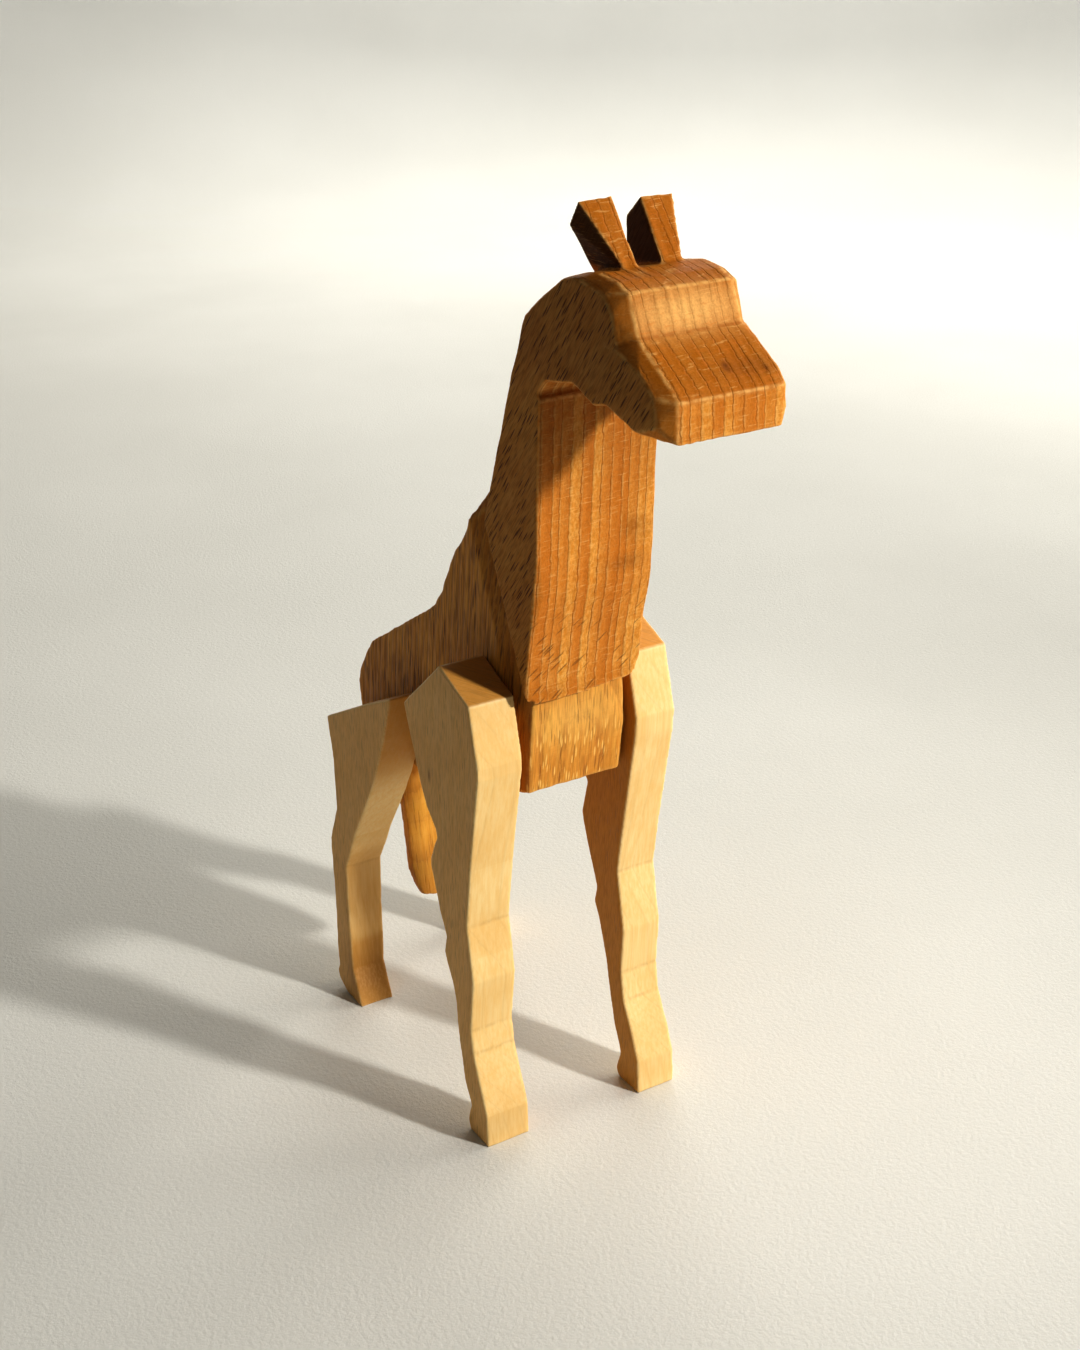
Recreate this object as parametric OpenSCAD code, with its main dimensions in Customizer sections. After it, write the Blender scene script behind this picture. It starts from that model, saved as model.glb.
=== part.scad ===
// Posable carved wooden giraffe.
// Seven carved pieces of wood, held together by six hidden pairs of disc magnets.
// Millimetres, +Z up. The nose points along -Y and the animal's left side is +X.
// The origin is on the floor, under the middle of the whole figure.

/* [Body] */
// Width of the oak board that the body is carved from
body_w = 30; // [28:0.5:32]
// Lean of the seat that carries the neck, away from upright
seat_lean = 25; // [24:0.5:26]
// Width of the chest's flat front at its widest
chest_w = 25.2; // [24:0.2:28]

/* [Neck and head] */
// Width of the beech board that the neck and head are carved from
neck_w = 30; // [28:0.5:32]
// Width of the flat faces on the brow and the muzzle
face_w = 24; // [20:0.5:26]

/* [Legs] */
// Thickness of the right front leg, the thickest of the four
leg_t = 11.75; // [10:0.25:14]
// Thickness of the left front leg and the right rear leg
slim_leg_t = 10.9; // [9:0.1:12]
// Thickness of the left rear leg, the thinnest
rear_left_leg_t = 10.2; // [9:0.1:12]
// How far the left rear toe lands behind the right one
rear_left_step = 8.5; // [0:0.5:9]
// How much thinner a rear leg is at the floor than at the top
rear_leg_thinning = 1.4; // [0:0.1:2]

/* [Tail] */
// Width of the tail slat
tail_w = 12; // [9:0.5:12.5]
// Thickness of the tail slat
tail_t = 3.3; // [3:0.1:4]

/* [Magnets] */
// Diameter of the leg magnets
leg_magnet_d = 8; // [6:0.5:8]
// Height of the leg magnets
leg_magnet_h = 4; // [3:0.5:4.5]
// Diameter of the neck magnets
neck_magnet_d = 12; // [8:0.5:12]
// Height of the neck magnets
neck_magnet_h = 4; // [3:0.5:5]
// Diameter of the tail magnets
tail_magnet_d = 6; // [5:0.5:7]
// Height of the tail magnets
tail_magnet_h = 2.5; // [2.2:0.1:2.8]

/* [Fits] */
// Gap between two wooden faces that turn on each other
face_gap = 0.25; // [0.2:0.05:0.4]
// Radial clearance of a magnet in the socket it turns in
turn_clearance = 0.08; // [0.05:0.01:0.1]
// Gap between the two magnets of a pair
magnet_gap = 0.2; // [0.2:0.05:0.3]

/* [Hidden] */
$fn = 64;

// Outlines are drawn in [y, z], with y counted from the right front toe.
// The finished figure is then moved forward by mid_y, to centre it on the origin.
mid_y = 21.3;
right = -1;
left = 1;

oak = [0.66, 0.44, 0.22];
beech = [0.80, 0.54, 0.30];
maple = [0.95, 0.84, 0.62];
nickel = [0.75, 0.75, 0.76];

// Where the joints turn, in [y, z]
front_hip = [16, 103];
rear_hip = [64, 82];
neck_seat = [10.8, 133];
tail_root = [83.6, 81];
tail_lean = 11;

// The chamfers on the body: how far back they run, and where the chest's are widest
chamfer_run = 6.5;
chest_corner = [10, 103];
hump_shoulder = [20, 149.5];

// Depth of each magnet's pocket in the piece that it is glued into
leg_pocket = 3;
neck_pocket = 3;
tail_pocket = 1.7;
magnet_bevel = 0.3;

// A point on the neck seat, t along it and d behind it
function on_seat(t, d) = neck_seat
    + t * [sin(seat_lean), cos(seat_lean)]
    + d * [cos(seat_lean), -sin(seat_lean)];

// An outline that leans evenly, so that its toe lands step further back
function stepped(outline, hip, step) =
    [for (p = outline) [p.x + step * (1 - p.y / hip.y), p.y]];

front_right_outline = [
    [0, 0], [0.5, 8.5], [2.5, 13.5], [4.5, 18], [6.5, 23], [7.5, 29],
    [6, 43], [7, 49], [8.5, 57], [6.5, 73], [2.5, 97.5], [2.5, 100.5],
    [6, 114.5], [19, 119.5], [36.5, 103.5], [33, 94.5], [29.5, 86],
    [26.5, 80.5], [22.5, 76.5], [22, 74.5], [25, 68], [25, 65],
    [21.5, 55.5], [18.5, 49.5], [19.5, 45], [18.5, 42.5], [16, 38.5],
    [14.5, 33.5], [13.5, 25.5], [11, 13], [8.5, 9], [8, 7.5], [9.5, 2.5], [8.5, 0]
];

// The left front leg is cut freehand: it steps further forward and stands taller
front_left_outline = [
    [-1.8, 0], [-1.2, 9], [1.5, 15.5], [5.6, 23.5], [6.9, 31], [6.2, 43],
    [9.3, 58.5], [7.6, 70], [3.1, 97], [2.8, 102], [7, 117], [19, 121.7],
    [36.5, 105.5], [33, 94.5], [29, 86], [26, 80.5], [23, 77], [23.5, 75],
    [25.2, 68], [24.5, 65], [21.5, 57.5], [18.2, 50], [19.2, 45.5], [17, 41],
    [15.5, 37], [13.7, 32], [12.4, 25.7], [9.3, 14], [7, 9], [6.6, 7.5], [8.2, 2], [7, 0]
];

rear_right_outline = [
    [68, 0], [70, 4.5], [72.5, 9.5], [73.5, 31], [73.5, 40.5], [71.5, 44],
    [67.5, 52.5], [58.5, 67.5], [54.5, 75], [49, 88], [45, 100.5], [58, 94],
    [80.5, 81.5], [78, 70], [77.5, 56], [82, 45.5], [81.3, 33], [81, 9],
    [80.6, 7], [81.8, 4.5], [81, 2.5], [76.5, 0]
];
rear_left_outline = stepped(rear_right_outline, rear_hip, rear_left_step);

body_outline = concat(
    [[5, 89.5], [3.5, 103], [3.5, 112], on_seat(-18, face_gap), on_seat(27.5, face_gap)],
    [
        [25.5, 150], [28, 145], [33, 139], [36, 133.5], [38.5, 128.5],
        [43, 123], [47, 120], [76, 101.5], [80.5, 95.5], [83.5, 90.5],
        [84.5, 87.5], [82, 74.5], [79, 72.5], [54, 75.5]
    ]
);

// Neck and cheeks, at the full width of the board
neck_outline = concat(
    [on_seat(20, 0), on_seat(-22.6, 0)],
    [
        [1.7, 117.5], [0.2, 128.5], [-2.2, 140], [-2.8, 148], [-3.1, 165],
        [-4, 183.5], [-3.2, 185], [-6, 188], [-16, 190], [-23, 187.5],
        [-28, 188.5], [-37, 186], [-40, 189], [-39, 193.5], [-34.5, 196.5],
        [-27.5, 199], [-26, 201], [-26, 205.5], [-24, 208], [-16, 211],
        [-12, 210], [-3, 204], [2, 200], [7.5, 186], [11.5, 174.5]
    ]
);

// Brow and crown: the flat face, the bevels that round it off on the right and
// the left, and the cheek behind them
brow_face = [
    [-34, 202.5], [-30.5, 210.5], [-26.5, 211.8], [-21, 212.4], [-15, 211.3],
    [-3, 204], [-3, 195], [-32, 195]
];
brow_right = [[-30.4, 201.5], [-29.1, 206.5], [-26.3, 209.6], [-17, 211], [-3, 204], [-3, 195]];
brow_left = [[-32.5, 202.5], [-29.8, 209.8], [-26, 211.2], [-20, 211.5], [-3, 204], [-3, 195]];
brow_cheek = [[-26, 201], [-26, 205.5], [-24, 208], [-16, 210.8], [-12, 210], [-3, 204], [-3, 195]];

// Muzzle: the same four outlines
muzzle_face = [[-47.4, 185.4], [-47, 193.5], [-45, 195.5], [-34, 202.5], [-22, 202.5], [-22, 190]];
muzzle_right = [
    [-38, 186], [-44.2, 188.5], [-43, 194], [-38.5, 197.4],
    [-31, 200.2], [-22, 200.5], [-22, 190]
];
muzzle_left = [
    [-44.3, 185.5], [-46.8, 189], [-46.3, 193.5], [-44, 196],
    [-33, 202.3], [-22, 202.3], [-22, 190]
];
muzzle_cheek = [
    [-37, 186], [-40, 189], [-39, 193.5], [-34.5, 196.5],
    [-27.5, 199], [-22, 199], [-22, 190]
];
bevel_right_x = 15;
bevel_left_x = 13.5;

// Corners of the ears, [x, y, z] with x outwards
right_ear = [
    [11.1, -11.3, 224.3], [5.8, -21, 211.5], [11.2, -8.3, 219.2], [5, -9.2, 208.5],
    [3.2, -11.3, 224.5], [2.8, -21, 211.5], [3.2, -8.3, 219.2], [2.8, -8, 206]
];
left_ear = [
    [11.1, -11.4, 223.6], [7.2, -21, 211.5], [11.2, -7, 218.5], [6, -9, 208.5],
    [3.2, -11.4, 223.6], [2.7, -21, 211.5], [3.2, -6.6, 219.1], [2.8, -8, 206]
];

// The lower end of the neck, [x, z]: everything below this line is cut away
neck_end = [
    [-16, 116], [-15, 113.8], [-14.4, 112.6], [-13.2, 112.1], [12.5, 114.3],
    [14, 115.6], [15.1, 118.5], [16, 118.5], [16, 105], [-16, 105]
];

// The shallow facet down the neck's right front edge: where it starts, in [y, z],
// how it leans from upright, how far it turns from the front, and its length
neck_facet = [-2.8, 150];
neck_facet_lean = 8;
neck_facet_turn = 19;
neck_facet_length = 45;

tail_top = 5.5;
tail_tip = 58;

// Extrudes a [y, z] outline across the figure, centred on its middle plane
module slab(outline, width) {
    rotate([90, 0, 90])
        linear_extrude(width, center = true)
            polygon(outline);
}

// Places children on the floor frame: figure centred on the origin
module placed() {
    translate([0, -mid_y, 0]) children();
}

// Stand at a joint, with +Z out of the body and through the limb
module at_hip(hip, side) {
    translate([side * body_w / 2, hip.x, hip.y]) rotate([0, side * 90, 0]) children();
}

module at_neck_seat() {
    seat_face = on_seat(0, face_gap);
    translate([0, seat_face.x, seat_face.y]) rotate([90 - seat_lean, 0, 0]) children();
}

module at_tail_root() {
    translate([0, tail_root.x, tail_root.y]) rotate([-90 - tail_lean, 0, 0]) children();
}

// Height above the body's face at which the limb's magnet starts
function magnet_foot(h, pocket) = face_gap + pocket - h;

// Pocket in the body: the body's own magnet fills the bottom of it,
// and the end of the limb's magnet turns in its mouth
module body_pocket(d, h, pocket) {
    depth = h + magnet_gap - magnet_foot(h, pocket);
    translate([0, 0, -depth]) cylinder(d = d + 2 * turn_clearance, h = depth + 1);
}

// Blind pocket in the limb, the magnet's own size
module limb_pocket(d, pocket) {
    cylinder(d = d, h = face_gap + pocket);
}

// Nickel-plated disc with bevelled rims
module disc_magnet(d, h) {
    color(nickel)
        rotate_extrude()
            polygon([
                [0, 0], [d / 2 - magnet_bevel, 0], [d / 2, magnet_bevel],
                [d / 2, h - magnet_bevel], [d / 2 - magnet_bevel, h], [0, h]
            ]);
}

module limb_magnet(d, h, pocket) {
    translate([0, 0, magnet_foot(h, pocket)]) disc_magnet(d, h);
}

module body_magnet(d, h, pocket) {
    translate([0, 0, magnet_foot(h, pocket) - magnet_gap - h]) disc_magnet(d, h);
}

// A flat cut down one side of the body. The cut runs through [y, z] start, leaning
// back from upright. Flare turns it inwards towards the front, and draft turns it
// inwards towards the bottom, or towards the top where draft is negative.
module side_cut(side, start, lean, flare, draft) {
    reach = 60;
    translate([side * body_w / 2, start.x, start.y])
        rotate([-lean, 0, 0])
            rotate([0, 0, -side * flare])
                rotate([0, side * draft, 0])
                    translate([side > 0 ? 0 : -reach, -reach, -reach])
                        cube([reach, reach + 5, 2 * reach]);
}

module body() {
    flare = atan((body_w - chest_w) / 2 / chamfer_run);
    placed()
        color(oak)
            difference() {
                slab(body_outline, body_w);
                for (side = [right, left]) {
                    side_cut(side, on_seat(0, chamfer_run), seat_lean, flare, 0);
                    side_cut(side, chest_corner, 0, flare, 3);
                    side_cut(side, chest_corner, 0, flare, -3.5);
                    side_cut(side, hump_shoulder, 0, 0, -30);
                    at_hip(front_hip, side) body_pocket(leg_magnet_d, leg_magnet_h, leg_pocket);
                    at_hip(rear_hip, side) body_pocket(leg_magnet_d, leg_magnet_h, leg_pocket);
                }
                at_neck_seat() body_pocket(neck_magnet_d, neck_magnet_h, neck_pocket);
                at_tail_root() body_pocket(tail_magnet_d, tail_magnet_h, tail_pocket);
            }
}

// A carved block: a flat face, bevelled back in steps to the cheeks
module carved_block(face, right_bevel, left_bevel, cheek) {
    hull() {
        slab(face, face_w);
        translate([-bevel_right_x / 2, 0, 0]) slab(right_bevel, bevel_right_x);
        translate([bevel_left_x / 2, 0, 0]) slab(left_bevel, bevel_left_x);
        slab(cheek, neck_w);
    }
}

module neck_facet_cut() {
    reach = 20;
    translate([right * neck_w / 2, neck_facet.x, neck_facet.y])
        rotate([neck_facet_lean, 0, 0])
            rotate([0, 0, -neck_facet_turn])
                translate([-reach, -reach, -neck_facet_length])
                    cube([2 * reach, reach, neck_facet_length]);
}

module ear(corners, side) {
    speck = 0.02;
    hull()
        for (p = corners)
            translate([side * p.x, p.y, p.z]) cube(speck, center = true);
}

module neck_and_head() {
    placed()
        color(beech)
            difference() {
                union() {
                    slab(neck_outline, neck_w);
                    carved_block(brow_face, brow_right, brow_left, brow_cheek);
                    carved_block(muzzle_face, muzzle_right, muzzle_left, muzzle_cheek);
                    ear(right_ear, right);
                    ear(left_ear, left);
                }
                at_neck_seat() limb_pocket(neck_magnet_d, neck_pocket);
                neck_facet_cut();
                translate([0, body_w, 0])
                    rotate([90, 0, 0])
                        linear_extrude(2 * body_w) polygon(neck_end);
            }
}

// The leg's inner face is planed back by thinning, from the knee down to the floor
module leg(outline, hip, side, thickness, thinning) {
    knee = 60;
    inner = side * (body_w / 2 + face_gap);
    placed()
        color(maple)
            difference() {
                translate([inner + side * thickness / 2, 0, 0]) slab(outline, thickness);
                at_hip(hip, side) limb_pocket(leg_magnet_d, leg_pocket);
                if (thinning > 0)
                    rotate([90, 0, 0])
                        linear_extrude(300, center = true)
                            polygon([
                                [inner, knee], [inner + side * thinning, 0],
                                [inner + side * thinning, -1], [inner - side, -1], [inner - side, knee]
                            ]);
            }
}

module tail() {
    half = tail_w / 2;
    placed()
        color(oak)
            at_tail_root()
                difference() {
                    translate([0, 0, face_gap])
                        linear_extrude(tail_t)
                            polygon([
                                [-half + 1, -tail_top], [half - 1, -tail_top], [half, 1 - tail_top],
                                [half, 49], [0.85 * half, 53.5], [0.6 * half, 57], [0, tail_tip],
                                [-0.6 * half, 57], [-0.85 * half, 53.5], [-half, 49], [-half, 1 - tail_top]
                            ]);
                    limb_pocket(tail_magnet_d, tail_pocket);
                }
}

module leg_magnet(hip, side) {
    placed() at_hip(hip, side) limb_magnet(leg_magnet_d, leg_magnet_h, leg_pocket);
}

module hip_magnet(hip, side) {
    placed() at_hip(hip, side) body_magnet(leg_magnet_d, leg_magnet_h, leg_pocket);
}

body();
neck_and_head();
tail();
leg(front_right_outline, front_hip, right, leg_t, 0);  // leg_front_right
leg(front_left_outline, front_hip, left, slim_leg_t, 0);  // leg_front_left
leg(rear_right_outline, rear_hip, right, slim_leg_t, rear_leg_thinning);  // leg_rear_right
leg(rear_left_outline, rear_hip, left, rear_left_leg_t, rear_leg_thinning);  // leg_rear_left
placed() at_neck_seat() limb_magnet(neck_magnet_d, neck_magnet_h, neck_pocket);  // neck_magnet
placed() at_neck_seat() body_magnet(neck_magnet_d, neck_magnet_h, neck_pocket);  // neck_seat_magnet
placed() at_tail_root() limb_magnet(tail_magnet_d, tail_magnet_h, tail_pocket);  // tail_magnet
placed() at_tail_root() body_magnet(tail_magnet_d, tail_magnet_h, tail_pocket);  // tail_seat_magnet
leg_magnet(front_hip, right);  // leg_magnet_front_right
leg_magnet(front_hip, left);  // leg_magnet_front_left
leg_magnet(rear_hip, right);  // leg_magnet_rear_right
leg_magnet(rear_hip, left);  // leg_magnet_rear_left
hip_magnet(front_hip, right);  // hip_magnet_front_right
hip_magnet(front_hip, left);  // hip_magnet_front_left
hip_magnet(rear_hip, right);  // hip_magnet_rear_right
hip_magnet(rear_hip, left);  // hip_magnet_rear_left
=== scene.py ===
"""Looks for a posable carved wooden giraffe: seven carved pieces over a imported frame."""

import math

import bmesh
import bpy
import numpy as np
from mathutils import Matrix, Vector, bvhtree, kdtree


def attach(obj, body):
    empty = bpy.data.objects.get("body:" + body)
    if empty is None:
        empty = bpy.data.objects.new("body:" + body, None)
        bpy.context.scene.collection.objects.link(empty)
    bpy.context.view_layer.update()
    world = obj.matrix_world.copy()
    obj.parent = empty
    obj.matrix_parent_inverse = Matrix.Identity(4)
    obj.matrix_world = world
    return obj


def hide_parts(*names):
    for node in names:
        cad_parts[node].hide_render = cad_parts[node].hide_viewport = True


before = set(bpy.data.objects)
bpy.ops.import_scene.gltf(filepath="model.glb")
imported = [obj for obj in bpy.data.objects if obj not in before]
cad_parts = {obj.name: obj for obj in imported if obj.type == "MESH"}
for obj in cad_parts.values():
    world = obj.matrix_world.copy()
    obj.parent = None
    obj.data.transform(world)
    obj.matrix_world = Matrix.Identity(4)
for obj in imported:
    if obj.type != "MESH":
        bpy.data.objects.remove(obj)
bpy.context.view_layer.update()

MM = 0.001
# Bench coordinates count y from the right front toe. The frame's y is this much less
MID_Y = 21.3

FLOOR_RADII = (0.25, 0.6, 1.1)
FLOOR_SEGMENTS = 96
COVE_RADIUS = 0.6
COVE_STEPS = 12
WALL_TOP = 1.5

CAMERA_PLACE = (-209.4 * MM, -337.9 * MM, 293.4 * MM)
CAMERA_TURN = (math.radians(65.2), 0, math.radians(-31.9))
CAMERA_LENS = 50.67
DISPLAY_GAMMA = 0.88

# The key light stands in front of the figure, to its left and above it
KEY_PLACE = (352 * MM, -575 * MM, 470 * MM)
KEY_TARGET = (-90 * MM, 190 * MM, 100 * MM)
KEY_RADIUS = 0.03
KEY_POWER = 23
KEY_ANGLE = 60
KEY_COLOUR = (1.0, 0.98, 0.945)
# Wide soft lights on the figure's left, which leave its right flank dark
SIDE_PLACE = (1.0, 0.0, 0.5)
SIDE_SIZE = 0.8
SIDE_POWER = 7.2
BACK_PLACE = (0.6, 0.85, 0.7)
BACK_SIZE = 0.8
BACK_POWER = 5.5
FRONT_PLACE = (0.8, -0.75, 0.55)
FRONT_SIZE = 0.6
FRONT_POWER = 1.5
FILL_COLOUR = (1.0, 0.98, 0.94)
FILL_TARGET = (0, 0, 0.08)
# The paper wall glows, most behind the figure and to its left, least to its right
GLOW = 0.62
GLOW_TOWARDS = (0.72, 0.69, 0.0)
SKY_STRENGTH = 0.07
SKY_COLOUR = (1.0, 0.98, 0.95)


# ---------------------------------------------------------------- seeded fields


RIPPLE_WAVES = 7


def ripple(points, wavelength, seed, stretch=(1, 1, 1)):
    """Smooth seeded noise, mostly between -1 and 1, on points in mm."""
    rng = np.random.default_rng(seed)
    total = np.zeros(len(points))
    for _ in range(RIPPLE_WAVES):
        direction = rng.normal(size=3)
        direction /= np.linalg.norm(direction) * np.array(stretch)
        length = wavelength * rng.uniform(0.7, 1.6)
        start = rng.uniform(0, 2 * math.pi)
        total += np.sin(points @ (direction * 2 * math.pi / length) + start)
    return total / math.sqrt(RIPPLE_WAVES)


# Rings are laid out over this many mm, which is more than any piece is deep
RINGS_OVER = 400


def ring_number(depth, spacing, spread, seed):
    """Counts irregular growth rings along a depth in mm."""
    rng = np.random.default_rng(seed)
    count = int(RINGS_OVER / spacing)
    steps = spacing * rng.uniform(1 - spread, 1 + spread, size=count)
    edges = np.cumsum(steps) - steps.sum() / 2
    return np.interp(depth, edges, np.arange(len(edges)))


def smooth_step(low, high, value):
    """0 up to low, 1 from high on, and a soft rise between. High may be the smaller one."""
    t = np.clip((value - low) / (high - low), 0, 1)
    return t * t * (3 - 2 * t)


# ---------------------------------------------------------------- carved meshes


WELD_DISTANCE = 0.002 * MM
FLAT_DEGREES = 1
EDGE_SPACING = 0.3 * MM
# An edge of the CAD shape that sticks out at least this much gets worn, and lightened partly as a
# painted highlight
WORN_FROM_DEGREES = 25
# The deepest that the carving may cut into the CAD shape, in mm
DEEPEST_CUT = 0.4


def welded(node):
    """The CAD node as a bmesh of flat faces with shared corners."""
    work = bmesh.new()
    work.from_mesh(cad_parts[node].data)
    bmesh.ops.remove_doubles(work, verts=work.verts, dist=WELD_DISTANCE)
    flat = math.radians(FLAT_DEGREES)
    bmesh.ops.dissolve_limit(work, angle_limit=flat, verts=work.verts, edges=work.edges)
    work.normal_update()
    return work


def edge_points(work, convex, from_degrees):
    """Points along the sharp edges that stick out, or along those that turn in."""
    points = []
    for edge in work.edges:
        if len(edge.link_faces) != 2:
            continue
        angle = edge.calc_face_angle_signed(0)
        if abs(angle) < math.radians(from_degrees) or (angle > 0) != convex:
            continue
        a, b = (v.co for v in edge.verts)
        count = max(2, int((b - a).length / EDGE_SPACING))
        points += [a.lerp(b, i / (count - 1)) for i in range(count)]
    return points


def near_edges(coordinates, points, reach):
    """1 on an edge, falling to 0 at that many mm from it."""
    if not points:
        return np.zeros(len(coordinates))
    tree = kdtree.KDTree(len(points))
    for i, point in enumerate(points):
        tree.insert(point, i)
    tree.balance()
    away = np.array([tree.find(c)[2] for c in coordinates]) / MM
    return 1 - smooth_step(0.15, reach, away)


def facet_tones(coordinates, work, seed):
    """A seeded number from 0 to 1 for the flat CAD face that each point lies on."""
    rng = np.random.default_rng(seed)
    tones = rng.uniform(0, 1, size=len(work.faces))
    tree = bvhtree.BVHTree.FromBMesh(work)
    triangles = work.calc_loop_triangles()
    face_of = [loops[0].face.index for loops in triangles]
    nearest = [tree.find_nearest(c)[2] for c in coordinates]
    return tones[np.array([face_of[i] for i in nearest])]


def stain_share(bench, stains):
    """How stained each point is. A stain is its centre, its reach along x, y, z, its strength."""
    share = np.zeros(len(bench))
    for centre, reach, strength in stains:
        away = ((bench - np.array(centre)) / np.array(reach)) ** 2
        share = np.maximum(share, strength * np.exp(-away.sum(axis=1)))
    return share


def voxel_shell(node, voxel, rounding):
    """The CAD shape as an even mesh whose sharp edges are worn round."""
    work = welded(node)
    mesh = bpy.data.meshes.new(node + "_shell")
    work.to_mesh(mesh)
    shell = bpy.data.objects.new(node + "_shell", mesh)
    bpy.context.collection.objects.link(shell)
    remesh = shell.modifiers.new("even", "REMESH")
    remesh.mode = "VOXEL"
    remesh.voxel_size = voxel * MM
    smooth = shell.modifiers.new("worn", "SMOOTH")
    smooth.factor = 0.5
    smooth.iterations = rounding
    graph = bpy.context.evaluated_depsgraph_get()
    result = bpy.data.meshes.new_from_object(shell.evaluated_get(graph))
    bpy.data.objects.remove(shell)
    bpy.data.meshes.remove(mesh)
    return work, result


def vertex_values(mesh, name):
    flat = np.empty(len(mesh.vertices) * 3)
    mesh.vertices.foreach_get(name, flat)
    return flat.reshape(-1, 3)


def put_attribute(mesh, name, values):
    layer = mesh.attributes.new(name, "FLOAT", "POINT")
    layer.data.foreach_set("value", values.astype(np.float32))


def carved_piece(name, node, body, style, material, seed, stains=(), bare=()):
    """Replaces a CAD node with its carved, weathered piece of wood."""
    work, mesh = voxel_shell(node, style["voxel"], style["rounding"])
    coordinates = vertex_values(mesh, "co")
    normals = vertex_values(mesh, "normal")
    bench = coordinates / MM + np.array([0, MID_Y, 0])

    ring = style["rings"](bench)
    corners = edge_points(work, True, WORN_FROM_DEGREES)
    ridge = near_edges(coordinates, corners, style["edge_reach"])
    bends = edge_points(work, False, style["crease_from"])
    crease = near_edges(coordinates, bends, style["edge_reach"])
    depth = style["relief"](bench, normals, ring, ridge)
    put_attribute(mesh, "ring", ring)
    put_attribute(mesh, "ridge", ridge)
    put_attribute(mesh, "crease", crease)
    put_attribute(mesh, "stain", stain_share(bench, stains))
    put_attribute(mesh, "bare", stain_share(bench, bare))
    put_attribute(mesh, "painted_shade", style["painted_shade"](bench, normals))
    put_attribute(mesh, "facet", facet_tones(coordinates, work, seed))
    work.free()

    cut = np.clip(depth, 0, DEEPEST_CUT) * MM
    moved = coordinates - normals * cut[:, None]
    mesh.vertices.foreach_set("co", moved.ravel())
    mesh.polygons.foreach_set("use_smooth", np.ones(len(mesh.polygons), dtype=bool))
    mesh.materials.clear()
    mesh.materials.append(material)
    mesh.update()
    mesh.name = name
    piece = bpy.data.objects.new(name, mesh)
    bpy.context.collection.objects.link(piece)
    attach(piece, body)
    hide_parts(node)


# Styles: how each piece's rings run, and how its faces are cut


def beech_rings(bench):
    warp = 0.9 * ripple(bench, 70, 11, (1, 2, 3)) + 0.2 * ripple(bench, 16, 12, (1, 1.5, 3))
    return ring_number(bench[:, 0] + warp, 2.1, 0.6, 13)


def beech_relief(bench, normals, ring, ridge):
    across = 1 - np.abs(normals[:, 0]) ** 2
    shelves = 0.035 * (1 - np.cos(2 * math.pi * ring)) * (1 + ripple(bench, 12, 24)) * across
    scallops = 0.05 * (1 + ripple(bench, 8, 21, (1, 1, 1.6)))
    chatter = 0.022 * (1 + ripple(bench, 2.6, 22, (4, 1, 1))) * across
    return shelves + scallops + chatter + 0.05 * ridge * (1 + ripple(bench, 3, 23))


def beech_painted_shade(bench, normals):
    """Painted shade: dark on the sides of the ears, a little on the sides of the head, and on the
    throat under the jaw.
    """
    up = bench[:, 2]
    sides = smooth_step(0.5, 0.8, np.abs(normals[:, 0]))
    throat = smooth_step(0.6, 0.9, -normals[:, 1]) * smooth_step(-10, -7, bench[:, 1])
    throat *= 0.4 * smooth_step(150, 180, up) * smooth_step(205, 200, up)
    return throat + sides * (0.95 * smooth_step(210, 212, up) + 0.2 * smooth_step(185, 195, up))


def oak_rings(bench):
    x, y, z = bench.T
    lean = 0.10 * (z - 95)
    bend = 0.8 * ripple(bench, 45, 31, (1, 1, 3)) + 0.2 * ripple(bench, 10, 32, (1, 1, 4))
    return ring_number(np.hypot(x - 2, y + 24) + lean + bend, 2.2, 0.4, 33)


def oak_relief(bench, normals, ring, ridge):
    lines = 0.05 * (1 + np.cos(2 * math.pi * ring))
    scallops = 0.05 * (1 + ripple(bench, 9, 41, (1, 1, 1.5)))
    return lines + scallops + 0.06 * ridge * (1 + ripple(bench, 4, 42))


def oak_painted_shade(bench, normals):
    """Painted shade on the upper edges and on the bevels beside the seat."""
    side = np.abs(normals[:, 0])
    return 0.35 * smooth_step(0.2, 0.45, side) * smooth_step(0.995, 0.93, side)


def maple_rings(bench):
    x, y, z = bench.T
    bend = 1.3 * ripple(bench, 50, 51, (1, 1, 2.5)) + 0.2 * ripple(bench, 12, 52, (1, 1, 4))
    return ring_number(y + 0.6 * x + bend + 0.10 * z, 3.0, 0.4, 53)


def maple_relief(bench, normals, ring, ridge):
    scallops = 0.025 * (1 + ripple(bench, 8, 61, (1, 1, 1.5)))
    return scallops + 0.04 * ridge * (1 + ripple(bench, 4, 62))


def maple_painted_shade(bench, normals):
    """Painted shade, orange with light thrown back between the wooden parts, on the faces that turn to
    the body and on the fronts of the rear legs.
    """
    x, y, z = bench.T
    inner = smooth_step(0.5, 0.9, -normals[:, 0] * np.sign(x))
    front = smooth_step(0.3, 0.7, -normals[:, 1]) * smooth_step(40, 44, y)
    thigh = smooth_step(66, 84, z)
    shin = 0.45 * smooth_step(48, 44, z)
    foot = 0.4 * smooth_step(20, 16, z)
    return np.maximum(inner, front * (thigh + shin + foot))


# Voxel in mm, passes of smoothing, reach in mm of a worn edge and of a shaded bend, least bend that
# gets painted shade
BEECH = dict(
    voxel=0.42,
    rounding=2,
    edge_reach=0.7,
    crease_from=14,
    rings=beech_rings,
    relief=beech_relief,
    painted_shade=beech_painted_shade,
)
OAK = dict(
    voxel=0.45,
    rounding=5,
    edge_reach=1.2,
    crease_from=14,
    rings=oak_rings,
    relief=oak_relief,
    painted_shade=oak_painted_shade,
)
MAPLE = dict(
    voxel=0.4,
    rounding=2,
    edge_reach=0.7,
    crease_from=6,
    rings=maple_rings,
    relief=maple_relief,
    painted_shade=maple_painted_shade,
)
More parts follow.
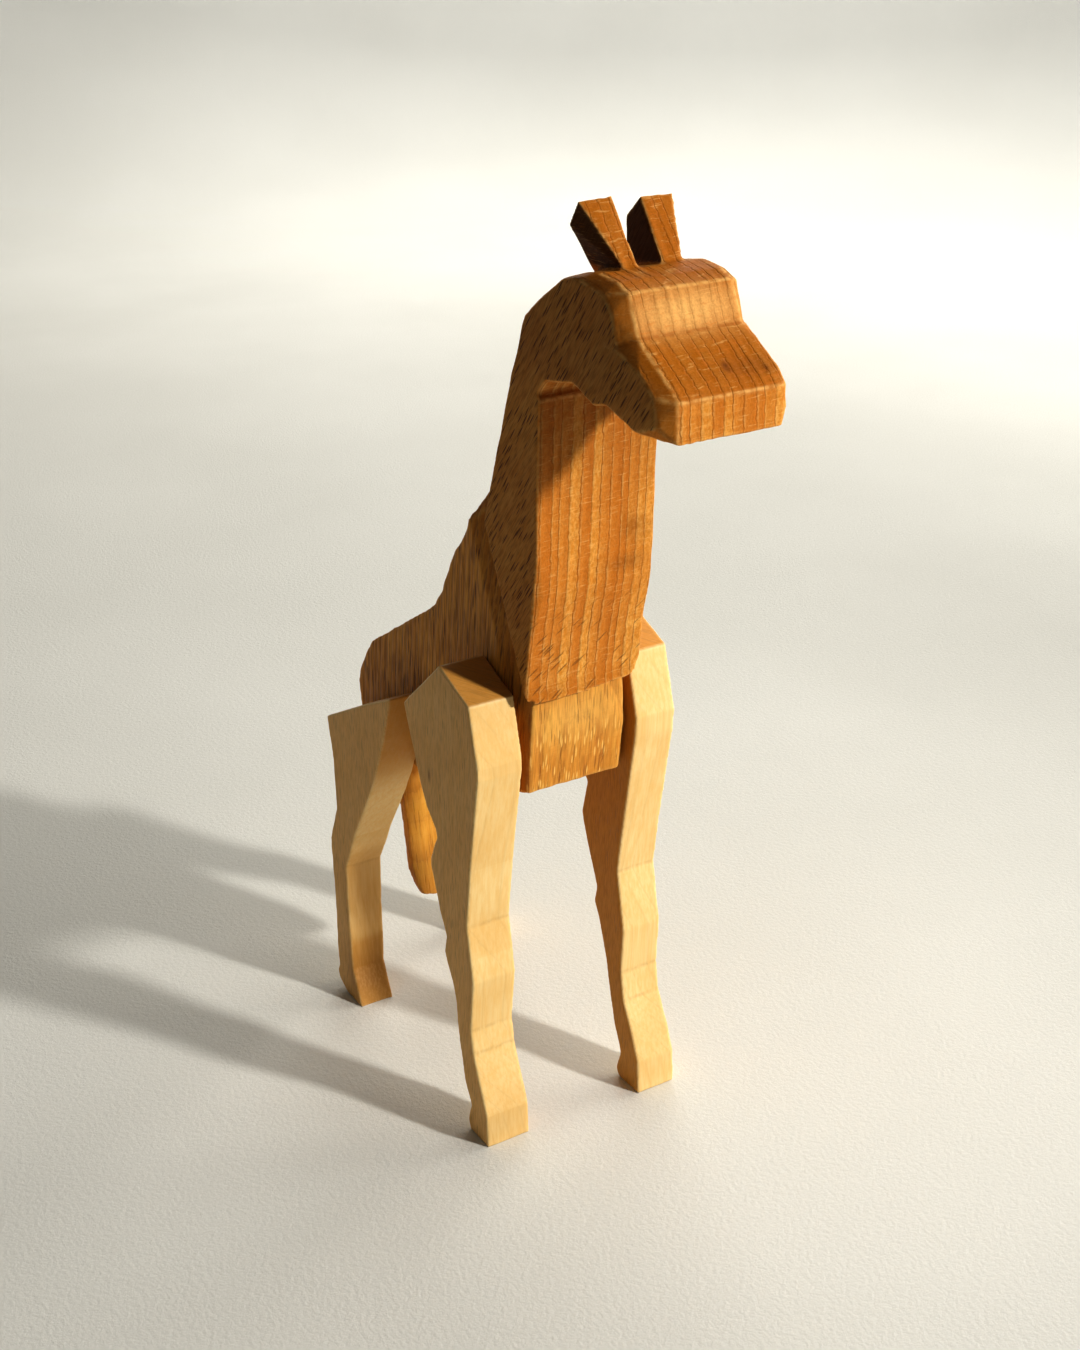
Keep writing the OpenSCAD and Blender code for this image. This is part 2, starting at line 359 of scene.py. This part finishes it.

# Knots, and darker patches, on each piece; on the head's right flank, a painted shade
NECK_STAINS_AND_SHADE = [
    ((2.2, -42.2, 197.3), (0.9, 1.3, 2.4), 1.0),
    ((10.5, -43.6, 196.4), (0.7, 1.0, 2.4), 0.8),
    ((7, -42.8, 197), (6, 2.4, 3), 0.35),
    ((9.5, -2.5, 152), (3.6, 4, 3.4), 0.4),
    ((8.5, -2, 144), (4.6, 4, 2), 0.4),
    # Painted shade on the right flank of the head
    ((-13, -27, 200), (3, 4, 9), 0.2),
]
# Paler wood, where the tool has cut last or hands have rubbed
NECK_BARE = [((0, -33, 206.5), (14, 3.5, 5), 0.75)]
BODY_BARE = [((0, 3.5, 107), (14, 3, 6), 0.5)]
FRONT_RIGHT_STAINS = [((-27, 24.6, 89.7), (1, 0.5, 1.7), 1.0), ((-24, 1, 5), (9, 3, 4), 0.15)]
REAR_RIGHT_STAINS = [((-21, 70, 8), (12, 8, 11), 0.7), ((-21, 72, 30), (10, 4, 12), 0.3)]
TAIL_STAINS = [((0, 75, 26), (12, 9, 13), 0.5)]
NO_STAINS = []


# ---------------------------------------------------------------- materials


class Tree:
    """A short way to write a material's nodes."""

    def __init__(self, name):
        self.material = bpy.data.materials.new(name)
        self.material.use_nodes = True
        self.nodes = self.material.node_tree.nodes
        self.links = self.material.node_tree.links
        self.nodes.clear()
        self.shader = self.nodes.new("ShaderNodeBsdfPrincipled")
        output = self.nodes.new("ShaderNodeOutputMaterial")
        self.links.new(self.shader.outputs[0], output.inputs[0])

    def put(self, socket, value):
        if hasattr(value, "is_output"):
            self.links.new(value, socket)
        else:
            socket.default_value = value

    def place(self):
        """The point on the piece, in mm, at rest."""
        coordinate = self.nodes.new("ShaderNodeTexCoord")
        return self.scaled(coordinate.outputs["Object"], (1 / MM,) * 3)

    def normal(self):
        return self.nodes.new("ShaderNodeTexCoord").outputs["Normal"]

    def attribute(self, name):
        node = self.nodes.new("ShaderNodeAttribute")
        node.attribute_name = name
        return node.outputs["Fac"]

    def math(self, operation, a, b=0.0):
        node = self.nodes.new("ShaderNodeMath")
        node.operation = operation
        self.put(node.inputs[0], a)
        self.put(node.inputs[1], b)
        return node.outputs[0]

    def times(self, a, b):
        return self.math("MULTIPLY", a, b)

    def rest_of(self, share):
        return self.math("SUBTRACT", 1.0, share)

    def scaled(self, vector, by):
        node = self.nodes.new("ShaderNodeVectorMath")
        node.operation = "MULTIPLY"
        self.put(node.inputs[0], vector)
        self.put(node.inputs[1], by)
        return node.outputs[0]

    def turned(self, vector, degrees, axis=0):
        node = self.nodes.new("ShaderNodeMapping")
        turn = [0, 0, 0]
        turn[axis] = math.radians(degrees)
        node.inputs["Rotation"].default_value = turn
        self.put(node.inputs["Vector"], vector)
        return node.outputs[0]

    def dot(self, a, b):
        node = self.nodes.new("ShaderNodeVectorMath")
        node.operation = "DOT_PRODUCT"
        self.put(node.inputs[0], a)
        self.put(node.inputs[1], b)
        return node.outputs["Value"]

    def length(self, vector):
        node = self.nodes.new("ShaderNodeVectorMath")
        node.operation = "LENGTH"
        self.put(node.inputs[0], vector)
        return node.outputs["Value"]

    def noise(self, vector, scale=1.0, detail=2.0, roughness=0.5):
        node = self.nodes.new("ShaderNodeTexNoise")
        self.put(node.inputs["Vector"], vector)
        node.inputs["Scale"].default_value = scale
        node.inputs["Detail"].default_value = detail
        node.inputs["Roughness"].default_value = roughness
        return node.outputs["Fac"]

    def span(self, value, low, high, to_low=0.0, to_high=1.0):
        node = self.nodes.new("ShaderNodeMapRange")
        node.interpolation_type = "SMOOTHSTEP"
        self.put(node.inputs["Value"], value)
        ends = {"From Min": low, "From Max": high, "To Min": to_low, "To Max": to_high}
        for socket, number in ends.items():
            node.inputs[socket].default_value = number
        return node.outputs["Result"]

    def ramp(self, value, stops):
        node = self.nodes.new("ShaderNodeValToRGB")
        elements = node.color_ramp.elements
        while len(elements) < len(stops):
            elements.new(0.5)
        for element, (position, level) in zip(elements, stops):
            element.position = position
            element.color = (level, level, level, 1)
        self.put(node.inputs[0], value)
        return node.outputs[0]

    def mix(self, share, a, b, blend="MIX"):
        node = self.nodes.new("ShaderNodeMix")
        node.data_type = "RGBA"
        node.blend_type = blend
        self.put(node.inputs["Factor"], share)
        self.put(node.inputs[6], a)
        self.put(node.inputs[7], b)
        return node.outputs[2]

    def random(self, value):
        node = self.nodes.new("ShaderNodeTexWhiteNoise")
        node.noise_dimensions = "1D"
        self.put(node.inputs["W"], value)
        return node.outputs["Value"]

    def cells(self, vector):
        """Distance to the nearest cell's centre, and the cell's own random number."""
        node = self.nodes.new("ShaderNodeTexVoronoi")
        self.put(node.inputs["Vector"], vector)
        node.inputs["Scale"].default_value = 1.0
        return node.outputs["Distance"], node.outputs["Color"]

    def bump(self, height, distance, strength=1.0):
        node = self.nodes.new("ShaderNodeBump")
        node.inputs["Distance"].default_value = distance
        node.inputs["Strength"].default_value = strength
        self.put(node.inputs["Height"], height)
        self.links.new(node.outputs[0], self.shader.inputs["Normal"])


def rgb(red, green, blue):
    return (red, green, blue, 1)


# Share of the painted shade's colour where it is strongest, and the tone that fibres are multiplied by
PAINTED_SHADE_STRENGTH = 0.8
FIBRE_SHADE = rgb(0.35, 0.27, 0.2)


class WoodTree(Tree):
    """One species of wood, built up coat by coat from the numbers and colours of a look."""

    def __init__(self, name, look):
        super().__init__(name)
        self.look = look
        self.point = self.place()
        self.height_up = self.dot(self.point, (0, 0, 1))
        self.fibre = self.turned(self.point, -look["fibre_lean"])
        self.streak = self.noise(self.scaled(self.fibre, look["streak"]), detail=3.0, roughness=0.6)
        self.fine = self.noise(self.scaled(self.fibre, look["fine"]))
        self.bare = self.attribute("bare")
        self.painted_shade = self.attribute("painted_shade")

        # Which way the surface faces: the board's flanks, the bevels towards them, the rest
        facing = self.normal()
        sideways = self.math("ABSOLUTE", self.dot(facing, (1, 0, 0)))
        self.flank = self.span(sideways, 0.9, 0.97)
        self.face = self.rest_of(self.flank)
        self.steep = self.span(sideways, 0.45, 0.75)
        lean = math.radians(look["fibre_lean"])
        along = self.math("ABSOLUTE", self.dot(facing, (0, -math.sin(lean), math.cos(lean))))
        self.end_grain = self.span(along, 0.5, 0.95)

        self.colour = self.mix(self.span(self.streak, 0.32, 0.68), look["light"], look["mid"])

    def coat(self, share, strength, tone):
        """Lays one of the look's colours over what is there."""
        self.colour = self.mix(self.times(share, strength), self.colour, self.look[tone])

    def strokes(self, density, space, size, core, least):
        """Short marks, one to a cell. Cells whose random number is under the least have none."""
        away, own = self.cells(self.scaled(space, density))
        return self.times(self.span(away, size, core), self.math("GREATER_THAN", own, least))

    def rings(self):
        """Growth rings: a tone across each, a band of its own, a line, and a painted highlight on the
        ridge at its end.
        """
        look = self.look
        shiver = self.noise(self.scaled(self.fibre, (0.9, 0.9, 0.25)))
        ring = self.math("ADD", self.attribute("ring"), self.times(shiver, look["shiver"]))
        phase = self.math("FRACT", ring)
        own = self.random(self.math("FLOOR", ring))
        on_face = self.span(self.steep, 0, 1, look["ring_on_face"], look["ring_on_flank"])

        tone = self.times(self.ramp(phase, look["profile"]), self.span(own, 0.1, 0.9, 0.15, 1))
        self.coat(self.times(tone, on_face), look["ring_tone"], "dark")
        self.coat(self.times(self.span(own, 0.3, 0.7), on_face), look["band"], "warm")
        line = self.times(self.ramp(phase, look["line"]), on_face)
        line = self.times(line, self.span(shiver, 0.3, 0.55, 0.35, 1))
        self.line = self.times(line, self.span(self.bare, 0, 0.6, 1, 0.35))
        # Painted highlight along each ring's ridge
        glint = self.times(self.ramp(phase, look["glint"]), on_face)
        glint = self.times(glint, self.span(shiver, 0.35, 0.6, 0.2, 1))
        glint = self.times(glint, self.span(self.bare, 0, 0.6, 1, 0.3))
        self.coat(glint, look["glint_share"], "burnish_and_highlight")

    def faces(self):
        """What differs from face to face: patches, end grain, painted shade on the flanks, on the
        bevels and where parts shade each other, and bare wood.
        """
        look = self.look
        patch = self.noise(self.point, scale=0.07)
        self.coat(self.span(patch, 0.35, 0.7), look["patch"], "warm")
        self.coat(self.span(self.attribute("facet"), 0.4, 1), look["facet"], "warm")
        self.coat(self.end_grain, look["end_grain"], "end")
        # Painted shade: the board's flanks get the flank colour in place of their shade
        self.coat(self.flank, look["flank_shade_share"], "flank")
        # Painted shade: dark on the ear sides, throat and body bevels, orange on the legs' faces under
        # and beside the body
        self.coat(self.painted_shade, PAINTED_SHADE_STRENGTH, "painted_shade")
        self.coat(self.bare, self.rest_of(self.steep), "burnish_and_highlight")
        # Painted shade on the bevels that turn towards the flanks
        bevel = self.times(self.times(self.steep, self.face), self.rest_of(self.painted_shade))
        self.coat(bevel, look["bevel"], "bevel_shade")

    def fibres(self):
        """Fine fibres, and the ring lines over them."""
        look = self.look
        share = self.span(self.flank, 0, 1, look["fine_on_face"], look["fine_on_flank"])
        share = self.times(self.span(self.fine, 0.42, 0.66), share)
        self.colour = self.mix(share, self.colour, FIBRE_SHADE, "MULTIPLY")
        self.coat(self.line, look["line_share"], "dark")

    def pores(self):
        """Dark pores or ray flecks, and low on the piece pale strokes."""
        look = self.look
        size = look["pore_size"]
        pore = self.strokes(look["pore_density"], self.fibre, size, size * 0.6, 1 - look["pore_share"])
        self.pore = self.times(pore, self.span(self.flank, 0, 1, look["pore_on_face"], 1))
        self.coat(self.pore, look["pore_dark"], "pore")
        pale = self.strokes(look["pale_density"], self.point, 0.42, 0.2, 0.4)
        below = self.span(self.height_up, look["pale_below"] + 3, look["pale_below"] - 1)
        self.coat(self.times(self.times(pale, below), self.face), look["pale_share"], "burnish_and_highlight")

    def tool_marks(self):
        """Marks of the scraper and the rasp across the faces, and of the saw across end grain."""
        look = self.look
        across = self.scaled(self.turned(self.point, 3, 1), (0.28, 0.28, 2.3))
        scrape = self.noise(across, detail=3.0, roughness=0.6)
        self.coat(self.times(self.span(scrape, 0.45, 0.3), self.face), look["scored"], "warm")
        # Painted highlight: the raised scrape marks are lightened
        self.cross = self.times(self.span(scrape, 0.55, 0.72), self.face)
        self.coat(self.cross, look["cross"], "burnish_and_highlight")
        rasp = self.strokes((1 / 5.5, 0.03, 1 / 0.65), self.turned(self.point, 38, 1), 0.4, 0.2, 0.4)
        low = self.span(self.height_up, look["rasp_below"], look["rasp_below"] - 16)
        self.rasp = self.times(rasp, self.times(low, self.face))
        self.coat(self.rasp, look["rasp"], "pore")
        saw = self.noise(self.scaled(self.turned(self.point, 40, 2), (0.12, 2.2, 0.6)))
        self.coat(self.times(self.span(saw, 0.45, 0.65), self.end_grain), look["saw"], "dark")

    def wear(self):
        """Worn edges lightened, partly as a painted highlight, painted shade in the bends, and stains.
        """
        look = self.look
        worn = self.noise(self.point, scale=0.6)
        # Edges lightened: partly worn wood, partly a painted highlight
        ridge = self.times(self.attribute("ridge"), self.span(worn, 0.3, 0.65, 0.2, 1))
        self.coat(ridge, look["ridge"], "burnish_and_highlight")
        # Painted shade along the inward bends
        crease = self.times(self.attribute("crease"), self.span(worn, 0.35, 0.6, 0.3, 1))
        self.coat(crease, look["crease"], "dark")
        # Stains, and on the head's right flank a painted shade
        self.coat(self.attribute("stain"), self.span(self.streak, 0.3, 0.6, 0.7, 1), "stain")

    def surface(self):
        """The finished colour, roughness and bump."""
        look = self.look
        self.put(self.shader.inputs["Base Color"], self.colour)
        uneven = self.times(self.math("SUBTRACT", self.fine, 0.5), 0.25)
        self.put(self.shader.inputs["Roughness"], self.math("ADD", look["rough"], uneven))
        self.shader.inputs["Specular IOR Level"].default_value = look["gloss"]
        height = self.math("SUBTRACT", self.times(self.streak, 0.4), self.times(self.pore, 1.2))
        height = self.math("ADD", height, self.times(self.fine, 0.4))
        height = self.math("SUBTRACT", height, self.times(self.line, look["line_depth"]))
        height = self.math("ADD", height, self.times(self.cross, look["cross"]))
        height = self.math("SUBTRACT", height, self.times(self.rasp, 1.5))
        self.bump(height, look["bump"] * MM)


def wood(name, look):
    """A solid wood, from the rings out to the marks of tools and hands."""
    tree = WoodTree(name, look)
    tree.rings()
    tree.faces()
    tree.fibres()
    tree.pores()
    tree.tool_marks()
    tree.wear()
    tree.surface()
    return tree.material


# What a look holds. Lengths in a texture are cells or waves per mm along x, y and z.
#   Colours: light and mid are the ground, dark the ring lines, warm the bands and patches,
#   end the end grain, burnish rubbed wood and painted highlights, oiled painted shade where parts
#   shade each other, flank and bevel_shade painted shade on the flanks and the bevels, the rest what
#   their names say.
#   profile, line, glint: how strong each is from the start of a ring (0) to its end (1).
#   ..._on_face, ..._on_flank: how much of it shows on the cut faces and on the board's flanks.
#   pale_below, rasp_below: the height in mm below which those marks start.
#   The other plain numbers are shares of a coat from 0 to 1; bump is in mm.
BEECH_LOOK = dict(
    fibre_lean=37,
    streak=(1.4, 1.4, 0.10),
    fine=(2.6, 2.6, 0.3),
    light=rgb(0.86, 0.44, 0.10),
    mid=rgb(0.70, 0.285, 0.037),
    dark=rgb(0.33, 0.095, 0.008),
    warm=rgb(0.56, 0.17, 0.016),
    end=rgb(0.36, 0.105, 0.0),
    burnish_and_highlight=rgb(0.88, 0.52, 0.17),
    flank=rgb(0.43, 0.185, 0.05),
    bevel_shade=rgb(0.66, 0.20, 0.016),
    pore=rgb(0.09, 0.032, 0.007),
    stain=rgb(0.13, 0.035, 0.004),
    painted_shade=rgb(0.06, 0.02, 0.006),
    profile=[(0.0, 0.6), (0.15, 0.05), (0.45, 0.0), (0.7, 0.4), (1.0, 0.75)],
    line=[(0.0, 1.0), (0.09, 0.15), (0.14, 0.0), (0.84, 0.0), (0.93, 0.35), (1.0, 1.0)],
    glint=[(0.04, 0.0), (0.14, 0.9), (0.3, 0.0), (1.0, 0.0)],
    ring_tone=0.8,
    band=0.7,
    line_share=0.32,
    glint_share=0.7,
    ring_on_face=1.0,
    ring_on_flank=0.1,
    shiver=0.4,
    patch=0.35,
    facet=0.2,
    end_grain=0.85,
    flank_shade_share=0.5,
    bevel=0.65,
    fine_on_face=0.18,
    fine_on_flank=0.45,
    pore_density=(0.05, 1 / 0.45, 1 / 5.5),
    pore_size=0.42,
    pore_share=0.5,
    pore_on_face=0.0,
    pore_dark=0.9,
    pale_density=(1, 1, 0.2),
    pale_below=0,
    pale_share=0.0,
    cross=0.32,
    scored=0.4,
    rasp=0.5,
    rasp_below=142,
    saw=0.15,
    ridge=0.6,
    crease=0.6,
    line_depth=1.5,
    rough=0.6,
    gloss=0.06,
    bump=0.07,
)

OAK_LOOK = dict(
    fibre_lean=4,
    streak=(1.1, 1.1, 0.06),
    fine=(2.4, 2.4, 0.16),
    light=rgb(0.86, 0.42, 0.065),
    mid=rgb(0.70, 0.29, 0.035),
    dark=rgb(0.30, 0.085, 0.007),
    warm=rgb(0.60, 0.20, 0.018),
    end=rgb(0.46, 0.16, 0.013),
    burnish_and_highlight=rgb(0.92, 0.56, 0.15),
    flank=rgb(0.80, 0.36, 0.055),
    bevel_shade=rgb(0.60, 0.20, 0.018),
    pore=rgb(0.12, 0.035, 0.004),
    stain=rgb(0.30, 0.085, 0.008),
    painted_shade=rgb(0.16, 0.045, 0.005),
    profile=[(0.0, 0.8), (0.2, 0.6), (0.45, 0.1), (0.7, 0.0), (0.95, 0.3), (1.0, 0.8)],
    line=[(0.0, 0.8), (0.1, 0.5), (0.3, 0.0), (0.9, 0.0), (1.0, 0.8)],
    glint=[(0.4, 0.0), (0.6, 0.6), (0.8, 0.0), (1.0, 0.0)],
    ring_tone=0.85,
    band=0.3,
    line_share=0.5,
    glint_share=0.2,
    ring_on_face=0.7,
    ring_on_flank=1.0,
    shiver=0.3,
    patch=0.35,
    facet=0.2,
    end_grain=0.5,
    flank_shade_share=0.5,
    bevel=0.2,
    fine_on_face=0.3,
    fine_on_flank=0.6,
    pore_density=(1 / 0.7, 1 / 0.7, 1 / 9.0),
    pore_size=0.36,
    pore_share=0.5,
    pore_on_face=0.5,
    pore_dark=0.7,
    pale_density=(1 / 0.6, 1 / 0.6, 1 / 7.0),
    pale_below=103,
    pale_share=0.9,
    cross=0.1,
    scored=0.2,
    rasp=0.0,
    rasp_below=0,
    saw=0.2,
    ridge=0.3,
    crease=0.5,
    line_depth=0.8,
    rough=0.55,
    gloss=0.2,
    bump=0.12,
)

# The tail is a finer piece of the same oak, and its grain runs down the tail
TAIL_CHANGES = dict(
    fibre_lean=-11,
    light=rgb(0.86, 0.47, 0.07),
    mid=rgb(0.76, 0.36, 0.04),
    ring_tone=0.35,
    band=0.1,
    line_share=0.2,
    fine_on_face=0.12,
    pore_dark=0.35,
    pale_share=0.15,
)

MAPLE_LOOK = dict(
    fibre_lean=2,
    streak=(1.6, 1.6, 0.04),
    fine=(4.5, 4.5, 0.35),
    light=rgb(0.96, 0.72, 0.34),
    mid=rgb(0.93, 0.63, 0.25),
    dark=rgb(0.46, 0.22, 0.045),
    warm=rgb(0.80, 0.46, 0.13),
    end=rgb(0.60, 0.25, 0.025),
    burnish_and_highlight=rgb(0.97, 0.78, 0.42),
    flank=rgb(0.80, 0.385, 0.085),
    bevel_shade=rgb(0.80, 0.46, 0.13),
    pore=rgb(0.30, 0.15, 0.05),
    stain=rgb(0.24, 0.085, 0.006),
    painted_shade=rgb(0.56, 0.235, 0.008),
    profile=[(0.0, 0.5), (0.1, 0.1), (0.5, 0.0), (0.85, 0.15), (1.0, 0.5)],
    line=[(0.0, 0.8), (0.06, 0.2), (0.1, 0.0), (0.92, 0.0), (1.0, 0.8)],
    glint=[(0.3, 0.0), (0.5, 0.3), (0.7, 0.0), (1.0, 0.0)],
    ring_tone=0.12,
    band=0.05,
    line_share=0.1,
    glint_share=0.2,
    ring_on_face=1.0,
    ring_on_flank=0.4,
    shiver=0.15,
    patch=0.35,
    facet=0.3,
    end_grain=0.85,
    flank_shade_share=0.55,
    bevel=0.0,
    fine_on_face=0.03,
    fine_on_flank=0.3,
    pore_density=(1 / 0.7, 1 / 0.7, 1 / 6.0),
    pore_size=0.3,
    pore_share=0.35,
    pore_on_face=0.0,
    pore_dark=0.4,
    pale_density=(1, 1, 0.2),
    pale_below=0,
    pale_share=0.0,
    cross=0.05,
    scored=0.05,
    rasp=0.0,
    rasp_below=0,
    saw=0.45,
    ridge=0.3,
    crease=0.25,
    line_depth=0.2,
    rough=0.5,
    gloss=0.22,
    bump=0.035,
)


def nickel():
    """Satin nickel plating with fine turning marks."""
    t = Tree("nickel_plating")
    place = t.place()
    cloud = t.noise(place, scale=1.2, detail=3.0)
    scratch = t.noise(t.scaled(place, (0.6, 9.0, 9.0)), detail=2.0)
    colour = t.mix(t.span(cloud, 0.3, 0.7), rgb(0.60, 0.59, 0.57), rgb(0.68, 0.67, 0.65))
    t.put(t.shader.inputs["Base Color"], colour)
    t.shader.inputs["Metallic"].default_value = 1.0
    t.put(t.shader.inputs["Roughness"], t.span(scratch, 0.3, 0.7, 0.22, 0.4))
    t.bump(scratch, 0.004 * MM)
    return t.material


PAPER_DARKER = rgb(0.735, 0.725, 0.67)
PAPER_LIGHTER = rgb(0.775, 0.765, 0.71)
# Painted shade: the paper far off, on the side away from the glow
PAPER_FAR_SHADE = rgb(0.24, 0.225, 0.20)
TOOTH_HEIGHT = 0.3 * MM
# Distances from the middle, in mm, between which the near paper turns into the far paper
FAR_FROM_TO = (300, 1400)


def paper():
    """Cream paper with a faint tooth. Far off, it glows on one side and has painted shade on the
    other.
    """
    t = Tree("cream_paper")
    place = t.place()
    cloud = t.noise(place, scale=0.006, detail=3.0)
    tooth = t.noise(place, scale=0.8, detail=4.0, roughness=0.65)
    colour = t.mix(t.span(cloud, 0.3, 0.7), PAPER_DARKER, PAPER_LIGHTER)
    t.shader.inputs["Roughness"].default_value = 0.85
    t.shader.inputs["Specular IOR Level"].default_value = 0.2
    t.bump(tooth, TOOTH_HEIGHT, 0.7)
    outwards = t.length(place)
    facing = t.math("DIVIDE", t.dot(place, GLOW_TOWARDS), outwards)
    far = t.span(outwards, *FAR_FROM_TO)
    # Painted shade on the far paper away from the glow
    colour = t.mix(t.times(far, t.span(facing, 0.4, -0.4)), colour, PAPER_FAR_SHADE)
    glow = t.times(far, t.span(facing, 0.6, 1.0, 0.1, 1.0))
    t.put(t.shader.inputs["Base Color"], colour)
    t.put(t.shader.inputs["Emission Color"], colour)
    t.put(t.shader.inputs["Emission Strength"], t.times(glow, GLOW))
    return t.material


# ---------------------------------------------------------------- the stage


def studio_floor():
    """A round sheet of paper that curves up into a low wall all round."""
    profile = [(radius, 0) for radius in FLOOR_RADII]
    for step in range(1, COVE_STEPS + 1):
        angle = math.pi / 2 * step / COVE_STEPS
        reach = FLOOR_RADII[-1] + COVE_RADIUS * math.sin(angle)
        profile.append((reach, COVE_RADIUS * (1 - math.cos(angle))))
    profile.append((FLOOR_RADII[-1] + COVE_RADIUS, WALL_TOP))
    work = bmesh.new()
    centre = work.verts.new((0, 0, 0))
    rows = []
    angles = [2 * math.pi * i / FLOOR_SEGMENTS for i in range(FLOOR_SEGMENTS)]
    for radius, height in profile:
        circle = [(radius * math.cos(a), radius * math.sin(a), height) for a in angles]
        rows.append([work.verts.new(point) for point in circle])
    for i in range(FLOOR_SEGMENTS):
        j = (i + 1) % FLOOR_SEGMENTS
        work.faces.new((centre, rows[0][i], rows[0][j]))
        for inner, outer in zip(rows, rows[1:]):
            work.faces.new((inner[i], outer[i], outer[j], inner[j]))
    mesh = bpy.data.meshes.new("paper_stage")
    work.to_mesh(mesh)
    work.free()
    mesh.polygons.foreach_set("use_smooth", [True] * len(mesh.polygons))
    mesh.materials.append(paper())
    floor = bpy.data.objects.new("paper_stage", mesh)
    bpy.context.collection.objects.link(floor)


def aim(thing, target):
    direction = Vector(target) - thing.location
    thing.rotation_euler = direction.to_track_quat("-Z", "Y").to_euler()


def lamp(name, kind, place, target, power, colour):
    light_data = bpy.data.lights.new(name, kind)
    light_data.energy = power
    light_data.color = colour
    light = bpy.data.objects.new(name, light_data)
    bpy.context.collection.objects.link(light)
    light.location = place
    aim(light, target)
    return light_data


def lights():
    key = lamp("key", "SPOT", KEY_PLACE, KEY_TARGET, KEY_POWER, KEY_COLOUR)
    key.shadow_soft_size = KEY_RADIUS
    key.spot_size = math.radians(KEY_ANGLE)
    key.spot_blend = 1.0
    for name, place, size, power in (
        ("side", SIDE_PLACE, SIDE_SIZE, SIDE_POWER),
        ("back", BACK_PLACE, BACK_SIZE, BACK_POWER),
        ("front", FRONT_PLACE, FRONT_SIZE, FRONT_POWER),
    ):
        fill = lamp(name, "AREA", place, FILL_TARGET, power, FILL_COLOUR)
        fill.shape = "DISK"
        fill.size = size


def sky():
    world = bpy.data.worlds.new("soft_sky")
    world.use_nodes = True
    background = world.node_tree.nodes["Background"]
    background.inputs["Color"].default_value = (*SKY_COLOUR, 1)
    background.inputs["Strength"].default_value = SKY_STRENGTH
    bpy.context.scene.world = world


def camera():
    lens = bpy.data.cameras.new("camera")
    lens.lens = CAMERA_LENS
    lens.sensor_width = 36
    lens.clip_start = 0.01
    eye = bpy.data.objects.new("camera", lens)
    bpy.context.collection.objects.link(eye)
    eye.location = CAMERA_PLACE
    eye.rotation_euler = CAMERA_TURN
    bpy.context.scene.camera = eye


# ---------------------------------------------------------------- the figure


LEGS = {
    "front_right": FRONT_RIGHT_STAINS,
    "front_left": NO_STAINS,
    "rear_right": REAR_RIGHT_STAINS,
    "rear_left": NO_STAINS,
}
# The seeds of the facet tones. Each leg has its own, counted up from the first
BODY_SEED = 1
NECK_SEED = 2
TAIL_SEED = 3
FIRST_LEG_SEED = 10


def figure():
    beech = wood("beech_wood", BEECH_LOOK)
    oak = wood("oak_wood", OAK_LOOK)
    tail_oak = wood("tail_oak_wood", dict(OAK_LOOK, **TAIL_CHANGES))
    maple = wood("maple_wood", MAPLE_LOOK)
    carved_piece("carved_body", "body", "body", OAK, oak, BODY_SEED, NO_STAINS, BODY_BARE)
    neck = "neck_and_head"
    carved_piece(
        "carved_" + neck, neck, neck, BEECH, beech, NECK_SEED, NECK_STAINS_AND_SHADE, NECK_BARE
    )
    carved_piece("carved_tail", "tail", "tail", OAK, tail_oak, TAIL_SEED, TAIL_STAINS)
    for seed, (limb, stains) in enumerate(LEGS.items(), FIRST_LEG_SEED):
        node = "leg_" + limb
        carved_piece("carved_" + node, node, node, MAPLE, maple, seed, stains)
    plating = nickel()
    for name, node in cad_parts.items():
        if "magnet" in name:
            node.data.materials.clear()
            node.data.materials.append(plating)


camera()
studio_floor()
lights()
sky()
figure()
bpy.context.scene.view_settings.view_transform = "Standard"
bpy.context.scene.view_settings.gamma = DISPLAY_GAMMA
